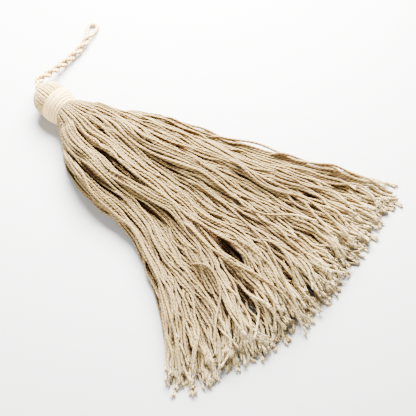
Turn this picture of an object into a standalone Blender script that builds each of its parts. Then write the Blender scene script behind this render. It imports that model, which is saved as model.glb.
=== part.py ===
"""A cotton yarn tassel lying on a flat surface: head and skirt, wound neck, twisted hanging loop."""

import math
import random
from collections import namedtuple

import bmesh
import bpy
from mathutils import Vector
from mathutils.geometry import delaunay_2d_cdt

MM = 0.001
UP = Vector((0, 0, 1))

# The neck's centre, placed so that the origin is under the middle of head and skirt.
# The skirt points to -Y from it and the crown to +Y.
NECK_X = -0.16 * MM
NECK_Y = 53.7 * MM
AXIS_Z = 6.5 * MM

# Head: its yarns are folded over at the crown and run down to the neck as ribs.
RIBS = 30
RIB_DEPTH = 0.22 * MM
CORE_GAP = 0.3 * MM
HeadRing = namedtuple("HeadRing", "reach radius ribbed")
HEAD_RINGS = (
    HeadRing(15.4 * MM, 2.2 * MM, 0.0),
    HeadRing(14.4 * MM, 4.3 * MM, 0.8),
    HeadRing(12.4 * MM, 6.0 * MM, 1.0),
    HeadRing(9.6 * MM, 6.9 * MM, 1.0),
    HeadRing(7.2 * MM, 6.9 * MM, 1.0),
    HeadRing(6.4 * MM, 6.5 * MM, 0.5),
    HeadRing(6.3 * MM, 5.6 * MM, 0.0),
    HeadRing(0.0 * MM, 4.3 * MM, 0.0),
)

# Neck: turns of fine thread wound over the yarns, tapering towards the skirt.
WRAP_START = 6.0 * MM
WRAP_END = 0.3 * MM
WRAP_TURNS = 6
WRAP_RIDGE = 0.14 * MM
WRAP_SHOULDER_RADIUS = 6.55 * MM
WRAP_WAIST_RADIUS = 5.35 * MM
WRAP_ROUNDING = 0.7
WRAP_STEPS = 30

# Skirt: sections at growing reach from the neck, with the fan's edges in degrees from -Y.
Section = namedtuple("Section", "reach left right height")
SECTIONS = (
    Section(10.0 * MM, -52.0, 51.0, 12.6 * MM),
    Section(19.0 * MM, -48.0, 39.5, 13.2 * MM),
    Section(36.0 * MM, -33.8, 36.0, 12.2 * MM),
    Section(58.0 * MM, -23.6, 33.4, 10.8 * MM),
    Section(84.0 * MM, -24.8, 29.2, 9.2 * MM),
    Section(104.0 * MM, -26.4, 28.5, 7.8 * MM),
    Section(124.0 * MM, -28.6, 29.4, 6.4 * MM),
)
ROOT_BANDS = 3
ROOT_LIFT = 0.25 * MM
ROOT_MARGIN = 0.7 * MM
ROWS = 8
ACROSS = 34
YARN_HALF_WIDTH = 0.52 * MM
YARN_HEIGHT = 0.78 * MM
EDGE_SHARE = 0.965
PLACE_JITTER = 0.06
LockWave = namedtuple("LockWave", "shift across along start")
LOCK_WAVES = (
    LockWave(0.020, 14.0, 18.0, 0.6),
    LockWave(0.009, 27.0, -27.0, 2.1),
)
LOCKS_GROWN = 60.0 * MM
TipReach = namedtuple("TipReach", "across reach")
TIP_REACHES = (
    TipReach(-1.0, 122.5 * MM),
    TipReach(-0.5, 121.0 * MM),
    TipReach(0.0, 119.0 * MM),
    TipReach(0.5, 116.0 * MM),
    TipReach(1.0, 118.5 * MM),
)
TIP_STAGGER = 3.5 * MM
SHORT_STRANDS = 0.08
SHORT_BY = 11.0 * MM
NARROWEST_LAST_STEP = 5.0 * MM

# Hanging loop: one thin cord, doubled and twisted on itself, with a small open eye at its end.
CORD_RADIUS = 0.8 * MM
LEG_OFFSET = 0.96 * MM
LEG_PITCH = 9.6 * MM
EYE_RADIUS = 1.75 * MM
EYE_LENGTH = 5.5 * MM
EYE_STEPS = 6
CORD_STEP = 1.2 * MM
FINE_STEPS = 24
LoopPoint = namedtuple("LoopPoint", "aside from_neck height")
LOOP_ROUTE = (
    LoopPoint(0.0 * MM, 16.1 * MM, 6.7 * MM),
    LoopPoint(0.3 * MM, 17.6 * MM, 6.8 * MM),
    LoopPoint(1.5 * MM, 18.9 * MM, 6.8 * MM),
    LoopPoint(3.4 * MM, 19.5 * MM, 6.5 * MM),
    LoopPoint(6.6 * MM, 19.9 * MM, 5.7 * MM),
    LoopPoint(11.6 * MM, 20.8 * MM, 4.2 * MM),
    LoopPoint(16.0 * MM, 21.7 * MM, 3.0 * MM),
    LoopPoint(20.0 * MM, 22.4 * MM, 2.3 * MM),
    LoopPoint(24.0 * MM, 23.0 * MM, 2.05 * MM),
    LoopPoint(28.1 * MM, 23.8 * MM, 2.0 * MM),
    LoopPoint(32.5 * MM, 25.3 * MM, 2.0 * MM),
    LoopPoint(36.4 * MM, 27.3 * MM, 1.6 * MM),
    LoopPoint(39.0 * MM, 29.0 * MM, 1.2 * MM),
)

YARN_COLOUR = (0.62, 0.49, 0.33, 1)
WRAP_COLOUR = (0.70, 0.58, 0.44, 1)
CORD_COLOUR = (0.74, 0.60, 0.42, 1)


def clear_scene():
    for thing in list(bpy.data.objects):
        bpy.data.objects.remove(thing, do_unlink=True)


def cotton(name, colour):
    """A matt cotton material of one colour."""
    material = bpy.data.materials.new(name)
    material.use_nodes = True
    shader = material.node_tree.nodes["Principled BSDF"]
    shader.inputs["Base Color"].default_value = colour
    shader.inputs["Roughness"].default_value = 0.9
    shader.inputs["Metallic"].default_value = 0.0
    return material


def add_object(name, data, material):
    node = bpy.data.objects.new(name, data)
    bpy.context.scene.collection.objects.link(node)
    data.materials.append(material)
    return node


def mesh_object(name, body, material, sharp_degrees):
    """Turns a finished bmesh into an object, shaded smooth but for its sharp edges."""
    bmesh.ops.recalc_face_normals(body, faces=body.faces)
    mesh = bpy.data.meshes.new(name)
    body.to_mesh(mesh)
    body.free()
    mesh.shade_smooth()
    mesh.set_sharp_from_angle(angle=math.radians(sharp_degrees))
    return add_object(name, mesh, material)


def between(table, key, value, field):
    """Reads a field of a table at a value of its key column, with straight runs between rows."""
    if value <= getattr(table[0], key):
        return getattr(table[0], field)
    for low, high in zip(table, table[1:]):
        if value <= getattr(high, key):
            share = (value - getattr(low, key)) / (getattr(high, key) - getattr(low, key))
            return getattr(low, field) + share * (getattr(high, field) - getattr(low, field))
    return getattr(table[-1], field)


def ring_directions():
    """The unit circle's points that every ring of the head uses, two for each rib."""
    count = 2 * RIBS
    return [
        (math.cos(2 * math.pi * i / count), math.sin(2 * math.pi * i / count))
        for i in range(count)
    ]


def head_ring_points(ring):
    """One ring of the head, ribbed and rested flat where it would pass below the surface."""
    points = []
    for index, (across, upward) in enumerate(ring_directions()):
        radius = ring.radius - (index % 2) * ring.ribbed * RIB_DEPTH
        height = max(AXIS_Z + radius * upward, 0.0)
        points.append(Vector((NECK_X + radius * across, NECK_Y + ring.reach, height)))
    return points


def lock_shift(across, reach):
    """How far the yarns gather into locks at this reach. It keeps their order across the fan."""
    root = SECTIONS[0].reach
    grown = min(max((reach - root) / (LOCKS_GROWN - root), 0.0), 1.0)
    waves = [w.shift * math.sin(w.across * across + w.along * reach + w.start) for w in LOCK_WAVES]
    return grown * sum(waves)


def skirt_direction(across, reach):
    """The unit vector in plan from the neck to this place on the fan."""
    left = between(SECTIONS, "reach", reach, "left")
    right = between(SECTIONS, "reach", reach, "right")
    share = (across + lock_shift(across, reach) + 1) / 2
    angle = math.radians(left + share * (right - left))
    return Vector((math.sin(angle), -math.cos(angle), 0))


def skirt_point(across, reach, height):
    centre = Vector((NECK_X, NECK_Y, height))
    return centre + reach * skirt_direction(across, reach)


def root_outline():
    """The rim of the first section as (across, height): a low arch over a level foot."""
    top = SECTIONS[0].height + ROOT_LIFT + ROOT_MARGIN
    return [(across, max(upward, 0.0) * top) for across, upward in ring_directions()]


def root_band_points(share):
    """One ring between the neck and the first section, flaring at once as the yarns do."""
    neck = head_ring_points(HEAD_RINGS[-1])
    flare = 1 - (1 - share) ** 2
    points = []
    for start, (across, height) in zip(neck, root_outline()):
        end = skirt_point(across, SECTIONS[0].reach, height)
        point = start.lerp(end, flare)
        point.y = start.y + share * (end.y - start.y)
        points.append(point)
    return points


def tip_reach(across, chance):
    """How far from the neck a strand is cut: most near the same arc, some well short of it."""
    reach = between(TIP_REACHES, "across", across, "reach")
    reach += chance.uniform(-TIP_STAGGER, TIP_STAGGER)
    if chance.random() < SHORT_STRANDS:
        reach -= chance.uniform(0.3, 1.0) * SHORT_BY
    return reach


def strand_half_width(reach):
    """Half the width of a strand's three-sided section, slimmer near the crowded roots."""
    left = between(SECTIONS, "reach", reach, "left")
    right = between(SECTIONS, "reach", reach, "right")
    spacing = reach * math.radians(right - left) / ACROSS
    return min(YARN_HALF_WIDTH, 0.35 * spacing)


def row_height(row, reach):
    """How high the foot of this row's strands lies: the first row rests on the surface."""
    return row / (ROWS - 1) * (between(SECTIONS, "reach", reach, "height") - YARN_HEIGHT)


def strand_section(row, across, reach):
    """The three corners of a strand at one reach: a level foot and a point above it."""
    middle = skirt_point(across, reach, row_height(row, reach))
    sideways = strand_half_width(reach) * UP.cross(skirt_direction(across, reach))
    return [middle - sideways, middle + sideways, middle + YARN_HEIGHT * UP]


def strand_places():
    """(row, across) of every strand, staggered from row to row in an arched heap."""
    spacing = 2 / ACROSS
    chance = random.Random(11)
    arch = SECTIONS[0].height + ROOT_LIFT + ROOT_MARGIN
    places = []
    for row in range(ROWS):
        top = row_height(row, SECTIONS[0].reach) + YARN_HEIGHT + 2 * ROOT_LIFT
        widest = EDGE_SHARE * math.sqrt(1 - (top / arch) ** 2)
        for step in range(-ACROSS, ACROSS + 1):
            across = (step + 0.5 * (row % 2)) * spacing
            if abs(across) <= widest:
                places.append((row, across + chance.uniform(-PLACE_JITTER, PLACE_JITTER) * spacing))
    return places


def add_root_face(body, rim, places):
    """Closes the first section with a face that keeps one open triangle for each strand."""
    first = SECTIONS[0]
    width = first.reach * math.radians(first.right - first.left) / 2
    half_width = strand_half_width(first.reach)
    flat = [Vector((across * width, height)) for across, height in root_outline()]
    loops = [list(range(len(flat)))]
    for row, across in places:
        foot = row_height(row, first.reach) + ROOT_LIFT
        loops.append([len(flat), len(flat) + 1, len(flat) + 2])
        flat.append(Vector((across * width - half_width, foot)))
        flat.append(Vector((across * width + half_width, foot)))
        flat.append(Vector((across * width, foot + YARN_HEIGHT)))
    found, _, triangles, sources, _, owners = delaunay_2d_cdt(flat, [], loops, 1, 1e-9)
    corners = []
    for point, source in zip(found, sources):
        if source[0] < len(rim):
            corners.append(rim[source[0]])
        else:
            corners.append(body.verts.new(skirt_point(point.x / width, first.reach, point.y)))
    roots = {}
    for triangle, owner in zip(triangles, owners):
        held = [index for index in owner if index > 0]
        if held:
            by_source = {sources[i][0]: corners[i] for i in triangle}
            roots[held[0] - 1] = [by_source[i] for i in loops[held[0]]]
        else:
            body.faces.new([corners[i] for i in triangle])
    return roots


def add_strand(body, root, row, across, tip):
    """Runs one strand from its open triangle to its cut end."""
    reaches = [s.reach for s in SECTIONS[1:] if s.reach < tip - NARROWEST_LAST_STEP]
    ring = root
    for reach in reaches + [tip]:
        corners = [body.verts.new(corner) for corner in strand_section(row, across, reach)]
        for i in range(3):
            j = (i + 1) % 3
            body.faces.new([ring[i], ring[j], corners[j], corners[i]])
        ring = corners
    body.faces.new(ring)


def make_yarns(material):
    """Head, core and skirt: one bundle of yarns, so one solid."""
    body = bmesh.new()
    rings = [head_ring_points(ring) for ring in HEAD_RINGS]
    rings += [root_band_points(band / ROOT_BANDS) for band in range(1, ROOT_BANDS + 1)]
    rings = [[body.verts.new(point) for point in ring] for ring in rings]
    body.faces.new(rings[0])
    for near, far in zip(rings, rings[1:]):
        for i in range(len(near)):
            j = (i + 1) % len(near)
            body.faces.new([near[i], near[j], far[j], far[i]])
    places = strand_places()
    roots = add_root_face(body, rings[-1], places)
    chance = random.Random(5)
    for index, (row, across) in enumerate(places):
        add_strand(body, roots[index], row, across, tip_reach(across, chance))
    return mesh_object("tassel_yarns", body, material, 40)


def make_neck_wrap(material):
    """The wound neck as one turned ring, a ridge for each turn of thread."""
    core_slope = (HEAD_RINGS[-2].radius - HEAD_RINGS[-1].radius) / HEAD_RINGS[-2].reach
    profile = []
    for reach in (WRAP_START, WRAP_END):
        profile.append((HEAD_RINGS[-1].radius + core_slope * reach + CORE_GAP, reach))
    for step in range(2 * WRAP_TURNS, -1, -1):
        share = 1 - step / (2 * WRAP_TURNS)
        taper = (WRAP_SHOULDER_RADIUS - WRAP_WAIST_RADIUS) * share**WRAP_ROUNDING
        groove = 0.0 if step % 2 else WRAP_RIDGE
        reach = WRAP_END + (WRAP_START - WRAP_END) * share
        profile.append((WRAP_WAIST_RADIUS + taper - groove, reach))
    body = bmesh.new()
    rings = []
    for turn in range(WRAP_STEPS):
        angle = 2 * math.pi * turn / WRAP_STEPS
        ring = []
        for radius, reach in profile:
            height = max(AXIS_Z + radius * math.sin(angle), 0.0)
            sideways = NECK_X + radius * math.cos(angle)
            ring.append(body.verts.new((sideways, NECK_Y + reach, height)))
        rings.append(ring)
    for turn in range(WRAP_STEPS):
        near, far = rings[turn], rings[(turn + 1) % WRAP_STEPS]
        for i in range(len(profile)):
            j = (i + 1) % len(profile)
            body.faces.new([near[i], near[j], far[j], far[i]])
    return mesh_object("neck_wrap", body, material, 50)


def smooth_route(points, step):
    """Points a step apart on a smooth curve through the route's own points."""
    ends = [2 * points[0] - points[1]] + points + [2 * points[-1] - points[-2]]
    fine = []
    for a, b, c, d in zip(ends, ends[1:], ends[2:], ends[3:]):
        for i in range(FINE_STEPS):
            t = i / FINE_STEPS
            fine.append(
                0.5 * (2 * b + (c - a) * t + (2 * a - 5 * b + 4 * c - d) * t**2
                       + (3 * b - a - 3 * c + d) * t**3)
            )
    fine.append(points[-1])
    lengths = [0.0]
    for a, b in zip(fine, fine[1:]):
        lengths.append(lengths[-1] + (b - a).length)
    count = round(lengths[-1] / step)
    placed = []
    index = 0
    for i in range(count + 1):
        wanted = lengths[-1] * i / count
        while lengths[index + 1] < wanted and index < len(fine) - 2:
            index += 1
        share = (wanted - lengths[index]) / (lengths[index + 1] - lengths[index])
        placed.append(fine[index].lerp(fine[index + 1], share))
    return placed


def loop_centres():
    """The doubled cord's own centreline: out to the eye, round it, and back to the crown."""
    route = [Vector((NECK_X + p.aside, NECK_Y + p.from_neck, p.height)) for p in LOOP_ROUTE]
    middle = smooth_route(route, CORD_STEP)
    step = (middle[1] - middle[0]).length
    eye_start = len(middle) - 1 - EYE_LENGTH / step
    out_leg = []
    back_leg = []
    for i, point in enumerate(middle):
        ahead = (middle[min(i + 1, len(middle) - 1)] - middle[max(i - 1, 0)]).normalized()
        sideways = ahead.cross(UP).normalized()
        upward = sideways.cross(ahead)
        turn = 2 * math.pi * max(eye_start - i, 0) * step / LEG_PITCH
        opened = min(max((i - eye_start) / (EYE_LENGTH / step), 0), 1)
        offset = LEG_OFFSET + (EYE_RADIUS - LEG_OFFSET) * math.sin(math.pi / 2 * opened)
        aside = offset * (math.cos(turn) * sideways + math.sin(turn) * upward)
        out_leg.append(point + aside)
        back_leg.append(point - aside)
    tip = []
    for i in range(1, EYE_STEPS):
        angle = math.pi * i / EYE_STEPS
        tip.append(
            middle[-1] + EYE_RADIUS * (math.cos(angle) * sideways + math.sin(angle) * ahead)
        )
    return out_leg + tip + back_leg[::-1]


def make_hanging_loop(material):
    curve = bpy.data.curves.new("hanging_loop", "CURVE")
    curve.dimensions = "3D"
    curve.bevel_depth = CORD_RADIUS
    curve.bevel_resolution = 2
    curve.use_fill_caps = True
    centres = loop_centres()
    spline = curve.splines.new("POLY")
    spline.points.add(len(centres) - 1)
    for point, centre in zip(spline.points, centres):
        point.co = (*centre, 1)
    spline.use_smooth = True
    return add_object("hanging_loop", curve, material)


clear_scene()
make_yarns(cotton("yarn_cotton", YARN_COLOUR))
make_neck_wrap(cotton("wrap_thread", WRAP_COLOUR))
make_hanging_loop(cotton("loop_cord", CORD_COLOUR))
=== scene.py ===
"""A cotton yarn tassel lying on a pale surface, dressed piece by piece over its CAD frame."""

import math
from collections import namedtuple

import bmesh
import bpy
import numpy as np
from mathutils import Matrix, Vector


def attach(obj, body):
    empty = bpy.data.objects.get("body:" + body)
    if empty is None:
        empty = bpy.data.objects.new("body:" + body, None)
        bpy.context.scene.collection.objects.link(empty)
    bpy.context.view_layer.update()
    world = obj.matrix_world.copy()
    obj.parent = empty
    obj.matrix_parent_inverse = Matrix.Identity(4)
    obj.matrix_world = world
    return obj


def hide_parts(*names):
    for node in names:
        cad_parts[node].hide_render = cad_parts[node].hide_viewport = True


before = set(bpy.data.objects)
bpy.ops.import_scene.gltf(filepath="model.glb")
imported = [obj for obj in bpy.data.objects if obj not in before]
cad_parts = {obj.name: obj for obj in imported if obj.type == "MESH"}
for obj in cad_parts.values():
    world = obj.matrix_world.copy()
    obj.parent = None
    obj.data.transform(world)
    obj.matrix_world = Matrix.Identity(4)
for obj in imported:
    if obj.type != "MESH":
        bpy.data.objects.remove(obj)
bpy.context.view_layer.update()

# Camera. The photograph looks down at the tassel with a long lens, from the left of the skirt's
# cut ends, so that the head lies at the upper left of the picture and the skirt runs down to the right.
MM = 0.001
VIEW_AZIMUTH = math.radians(-46.15)
VIEW_ELEVATION = math.radians(51)
VIEW_TARGET = Vector((6.43 * MM, -9.55 * MM, 0))
VIEW_DISTANCE = 548.8 * MM
VIEW_LENS = 137.6

towards_camera = Vector(
    (
        math.sin(VIEW_AZIMUTH) * math.cos(VIEW_ELEVATION),
        -math.cos(VIEW_AZIMUTH) * math.cos(VIEW_ELEVATION),
        math.sin(VIEW_ELEVATION),
    )
)
camera_data = bpy.data.cameras.new("camera")
camera_data.lens = VIEW_LENS
camera = bpy.data.objects.new("camera", camera_data)
camera.location = VIEW_TARGET + VIEW_DISTANCE * towards_camera
camera.rotation_euler = towards_camera.to_track_quat("Z", "Y").to_euler()
bpy.context.scene.collection.objects.link(camera)
bpy.context.scene.camera = camera

# Hanging loop. A thin two-ply cotton cord, doubled and twisted on itself, with a small open eye at its
# end. Both its ends go in under the fold of yarns at the crown, and it lies on the surface beside the head.
NECK = np.array((-0.16, 53.7, 6.5)) * MM
CORD_RADIUS = 0.66 * MM
LEG_OFFSET = 0.82 * MM
LEG_PITCH = 9.6 * MM
EYE_RADIUS = 1.75 * MM
EYE_LENGTH = 4.8 * MM
CORD_STEP = 0.3 * MM
CORD_PLY_PITCH = 3.0 * MM
FINE_STEPS = 24
EYE_STEPS = 18
LoopPoint = namedtuple("LoopPoint", "aside from_neck height")
LOOP_ROUTE = (
    LoopPoint(0.2 * MM, 14.6 * MM, 6.7 * MM),
    LoopPoint(0.7 * MM, 16.2 * MM, 6.8 * MM),
    LoopPoint(1.9 * MM, 17.8 * MM, 6.8 * MM),
    LoopPoint(3.7 * MM, 18.8 * MM, 6.5 * MM),
    LoopPoint(6.6 * MM, 19.5 * MM, 5.7 * MM),
    LoopPoint(11.6 * MM, 20.4 * MM, 4.2 * MM),
    LoopPoint(16.0 * MM, 21.3 * MM, 3.0 * MM),
    LoopPoint(20.0 * MM, 22.0 * MM, 2.3 * MM),
    LoopPoint(24.0 * MM, 22.6 * MM, 2.05 * MM),
    LoopPoint(28.1 * MM, 23.4 * MM, 2.0 * MM),
    LoopPoint(32.5 * MM, 24.9 * MM, 2.1 * MM),
    LoopPoint(36.4 * MM, 26.9 * MM, 1.6 * MM),
    LoopPoint(39.2 * MM, 28.6 * MM, 1.2 * MM),
)
UP = np.array((0.0, 0.0, 1.0))
YARN_UNIT = 10 * MM

# One yarn: its centreline, its radius along it, how many turns its plies have made, the vector that its
# section's top leans to, which sets the sides that get painted shade, its number of plies, how deep the
# grooves between them are, and its shading. The shading holds tone, painted shade for how buried the yarn
# is, and how close it is to a cut end.
Yarn = namedtuple("Yarn", "line radius turns out plies groove sides shade")


def unit(vectors):
    return vectors / np.linalg.norm(vectors, axis=-1, keepdims=True)


def distance_along(line):
    """How far along a line each of its points lies."""
    steps = np.linalg.norm(np.diff(line, axis=0), axis=1)
    return np.concatenate(([0.0], np.cumsum(steps)))


def resample(line, step):
    """The same line with points a step apart."""
    along = distance_along(line)
    places = np.linspace(0, along[-1], max(int(round(along[-1] / step)), 2) + 1)
    return np.stack([np.interp(places, along, line[:, axis]) for axis in range(3)], axis=1)


def smooth_route(points, step):
    """Points a step apart on a smooth curve through a route's own points."""
    ends = np.vstack([2 * points[0] - points[1], points, 2 * points[-1] - points[-2]])
    share = (np.arange(FINE_STEPS) / FINE_STEPS)[:, None]
    fine = []
    for a, b, c, d in zip(ends, ends[1:], ends[2:], ends[3:]):
        cubic = 3 * b - a - 3 * c + d
        square = 2 * a - 5 * b + 4 * c - d
        fine.append(0.5 * (2 * b + (c - a) * share + square * share**2 + cubic * share**3))
    return resample(np.vstack(fine + [points[-1:]]), step)


def yarn_rings(yarn):
    """The points of a yarn's rings, their (turn, length) coordinates, and how far up each point lies."""
    ahead = unit(np.gradient(yarn.line, axis=0))
    sideways = unit(np.cross(ahead, yarn.out))
    upward = np.cross(sideways, ahead)
    angle = np.pi / 2 + 2 * np.pi * np.arange(yarn.sides + 1) / yarn.sides
    lobes = 1 + yarn.groove * np.cos(yarn.plies * (angle[None, :] - 2 * np.pi * yarn.turns[:, None]))
    reach = yarn.radius[:, None, None] * lobes[:, :-1, None]
    around = angle[None, :-1, None]
    points = yarn.line[:, None, :] + reach * (
        np.cos(around) * sideways[:, None, :] + np.sin(around) * upward[:, None, :]
    )
    turn = angle[None, :] / (2 * np.pi) - yarn.turns[:, None]
    length = np.repeat(distance_along(yarn.line)[:, None], yarn.sides + 1, axis=1)
    crown = np.tile(0.5 + 0.5 * np.sin(angle[:-1]), len(yarn.line))
    return points, np.stack([turn, length / YARN_UNIT], axis=2), crown


def join_yarns(name, yarns, material):
    """One mesh of closed tubes, with each yarn's own coordinates and shading kept on it."""
    points, faces, coordinates, shades = [], [], [], []
    first = 0
    for yarn in yarns:
        rings, places, crown = yarn_rings(yarn)
        count, sides = rings.shape[:2]
        points.append(rings.reshape(-1, 3))
        # The shade attribute's alpha holds how far up each point lies on its yarn, for painted shade on the
        # yarn's sides.
        shades.append(np.column_stack([np.repeat(yarn.shade, sides, axis=0), crown]))
        ring = np.arange(count - 1)[:, None] * sides
        side = np.arange(sides)[None, :]
        after = (side + 1) % sides
        quads = first + np.stack([ring + side, ring + sides + side, ring + sides + after, ring + after], 2)
        faces.extend(quads.reshape(-1, 4).tolist())
        low, high = places[:-1], places[1:]
        corners = np.stack([low[:, :-1], high[:, :-1], high[:, 1:], low[:, 1:]], axis=2)
        coordinates.append(corners.reshape(-1, 2))
        last = first + (count - 1) * sides
        faces.append(list(range(first, first + sides)))
        coordinates.append(places[0, :-1])
        faces.append(list(range(last + sides - 1, last - 1, -1)))
        coordinates.append(places[-1, :-1][::-1])
        first += count * sides
    mesh = bpy.data.meshes.new(name)
    mesh.from_pydata(np.concatenate(points).tolist(), [], faces)
    mesh.shade_smooth()
    layer = mesh.uv_layers.new(name="yarn")
    layer.uv.foreach_set("vector", np.concatenate(coordinates).astype(np.float32).ravel())
    tint = mesh.attributes.new("shade", "FLOAT_COLOR", "POINT")
    tint.data.foreach_set("color", np.concatenate(shades).astype(np.float32).ravel())
    mesh.materials.append(material)
    piece = bpy.data.objects.new(name, mesh)
    bpy.context.scene.collection.objects.link(piece)
    return piece


def add_node(tree, kind, settings=(), **inputs):
    """A shader node with some of its settings and socket values given."""
    node = tree.nodes.new(kind)
    for key, value in settings:
        setattr(node, key, value)
    for key, value in inputs.items():
        socket = node.inputs[int(key[1:])] if key[0] == "i" and key[1:].isdigit() else node.inputs[key]
        if isinstance(value, bpy.types.NodeSocket):
            tree.links.new(value, socket)
        else:
            socket.default_value = value
    return node


def maths(tree, operation, *values):
    """The output of a Math node on two or three values or sockets."""
    node = tree.nodes.new("ShaderNodeMath")
    node.operation = operation
    for socket, value in zip(node.inputs, values):
        if isinstance(value, bpy.types.NodeSocket):
            tree.links.new(value, socket)
        else:
            socket.default_value = value
    return node.outputs[0]


def mixed(tree, share, first, second, blend="MIX"):
    """The colour output of a Mix node."""
    node = tree.nodes.new("ShaderNodeMix")
    node.data_type = "RGBA"
    node.blend_type = blend
    for name, value in (("Factor", share), ("A", first), ("B", second)):
        sockets = [s for s in node.inputs if s.name == name and s.enabled]
        if isinstance(value, bpy.types.NodeSocket):
            tree.links.new(value, sockets[0])
        else:
            sockets[0].default_value = value
    return [s for s in node.outputs if s.enabled][0]


def stretched(tree, *parts):
    """A vector whose parts are sockets, each times a number."""
    vector = tree.nodes.new("ShaderNodeCombineXYZ")
    for socket, (value, times) in zip(vector.inputs, parts):
        tree.links.new(maths(tree, "MULTIPLY", value, times), socket)
    return vector.outputs[0]


def noise(tree, vector, scale, detail):
    return add_node(tree, "ShaderNodeTexNoise", Vector=vector, Scale=scale, Detail=detail).outputs[0]


# How bright a yarn is: at least, more with its own tone, its fibres and its dye, and most at its cut end,
# where the plies open into pale fluff. Husks are the brown specks that plain cotton keeps.
LEAST_BRIGHTNESS = 0.42
TONE_SHARE = 0.36
FIBRE_SHARE = 0.50
DYE_SHARE = 0.20
END_SHARE = 1.1
FLUFF_SHARE = 0.55
FLUFF_COLOUR = (0.42, 0.34, 0.20, 1)
HUSK_LIMIT = 0.73
# How narrow the plies' tops are against the painted shade of the grooves between them.
PLY_SHARPNESS = 1.8


def cotton_group():
    """The look that all the cotton shares: fine fibres and uneven dye, with painted shade in the grooves
    between plies, in deep gaps among the yarns and on each yarn's sides.
    """
    tree = bpy.data.node_groups.new("cotton plies and fibres", "ShaderNodeTree")
    for name, kind in (
        ("Yarn", "NodeSocketVector"),
        ("Shade", "NodeSocketColor"),
        ("Crown", "NodeSocketFloat"),
        ("Plies", "NodeSocketFloat"),
        ("Light", "NodeSocketColor"),
        ("Groove", "NodeSocketColor"),
        ("Husk and Shade", "NodeSocketColor"),
        ("Fleck", "NodeSocketFloat"),
    ):
        tree.interface.new_socket(name, in_out="INPUT", socket_type=kind)
    tree.interface.new_socket("Colour", in_out="OUTPUT", socket_type="NodeSocketColor")
    tree.interface.new_socket("Height", in_out="OUTPUT", socket_type="NodeSocketFloat")
    given = tree.nodes.new("NodeGroupInput").outputs
    around, along, _ = add_node(tree, "ShaderNodeSeparateXYZ", Vector=given["Yarn"]).outputs
    tone, buried_shade, tip = add_node(tree, "ShaderNodeSeparateColor", Color=given["Shade"]).outputs
    swing = maths(tree, "MULTIPLY", maths(tree, "MULTIPLY", around, math.pi), given["Plies"])
    ply = maths(tree, "ABSOLUTE", maths(tree, "COSINE", swing))
    streaks = stretched(tree, (around, 7.0), (along, 9.0), (tone, 61.0))
    fibre = noise(tree, streaks, 1.6, 3.0)
    uneven = noise(tree, stretched(tree, (along, 1.3), (tone, 97.0)), 1.0, 1.0)
    # Painted shade: the grooves between the plies take the groove colour, and the plies' tops keep their
    # own.
    colour = mixed(tree, maths(tree, "POWER", ply, PLY_SHARPNESS), given["Groove"], given["Light"])
    bright = LEAST_BRIGHTNESS
    for mask, share in ((tone, TONE_SHARE), (fibre, FIBRE_SHARE), (uneven, DYE_SHARE), (tip, END_SHARE)):
        bright = maths(tree, "ADD", maths(tree, "MULTIPLY", mask, share), bright)
    scaled = add_node(tree, "ShaderNodeVectorMath", (("operation", "SCALE"),), Vector=colour, Scale=bright)
    fluff = maths(tree, "MULTIPLY", maths(tree, "POWER", tip, 2.0), FLUFF_SHARE)
    colour = mixed(tree, fluff, scaled.outputs[0], FLUFF_COLOUR)
    husks = maths(tree, "GREATER_THAN", noise(tree, streaks, 0.9, 0.0), HUSK_LIMIT)
    husks = maths(tree, "MULTIPLY", husks, given["Fleck"])
    colour = mixed(tree, husks, colour, given["Husk and Shade"])
    # Painted shade: yarns buried in the heap are darkened with the deep colour.
    colour = mixed(tree, buried_shade, colour, given["Husk and Shade"], "MULTIPLY")
    # Painted shade on each yarn's sides and underside, away from the way its top leans; it fades out at cut
    # ends.
    flank_shade = add_node(tree, "ShaderNodeMapRange", Value=given["Crown"])
    flank_shade.interpolation_type = "SMOOTHSTEP"
    for socket, value in (("From Min", 0.2), ("From Max", 0.97), ("To Min", 0.9), ("To Max", 0.0)):
        flank_shade.inputs[socket].default_value = value
    painted_side_shade = maths(tree, "MULTIPLY", flank_shade.outputs[0], maths(tree, "SUBTRACT", 1.0, tip))
    colour = mixed(tree, painted_side_shade, colour, given["Husk and Shade"], "MULTIPLY")
    height = maths(tree, "ADD", maths(tree, "MULTIPLY", ply, 0.7), maths(tree, "MULTIPLY", fibre, 0.45))
    given_out = tree.nodes.new("NodeGroupOutput")
    tree.links.new(colour, given_out.inputs["Colour"])
    tree.links.new(height, given_out.inputs["Height"])
    return tree


COTTON = cotton_group()


def cotton_material(name, light, groove, husk_and_shade, plies, fleck, bump):
    """A matt cotton finish with its own colours, a painted shade colour for its ply grooves, and one
    colour for both its husk specks and its painted shade.
    """
    material = bpy.data.materials.new(name)
    material.use_nodes = True
    tree = material.node_tree
    shader = tree.nodes["Principled BSDF"]
    shader.inputs["Roughness"].default_value = 0.88
    shader.inputs["Specular IOR Level"].default_value = 0.2
    shader.inputs["Sheen Weight"].default_value = 0.05
    shader.inputs["Sheen Roughness"].default_value = 0.6
    yarn = add_node(tree, "ShaderNodeUVMap", (("uv_map", "yarn"),))
    shade = add_node(tree, "ShaderNodeAttribute", (("attribute_name", "shade"),))
    look = add_node(tree, "ShaderNodeGroup", (("node_tree", COTTON),), Plies=plies, Fleck=fleck)
    # Light is the plies' own colour, and the groove colour is painted shade between plies. The deep colour
    # serves both for husk specks and for painted shade on buried yarns and yarn sides.
    look.inputs["Light"].default_value = (*light, 1)
    look.inputs["Groove"].default_value = (*groove, 1)
    look.inputs["Husk and Shade"].default_value = (*husk_and_shade, 1)
    tree.links.new(yarn.outputs[0], look.inputs["Yarn"])
    tree.links.new(shade.outputs["Color"], look.inputs["Shade"])
    tree.links.new(shade.outputs["Alpha"], look.inputs["Crown"])
    tree.links.new(look.outputs["Colour"], shader.inputs["Base Color"])
    relief = add_node(tree, "ShaderNodeBump", Strength=bump, Distance=0.1 * MM)
    tree.links.new(look.outputs["Height"], relief.inputs["Height"])
    tree.links.new(relief.outputs[0], shader.inputs["Normal"])
    return material


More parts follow.
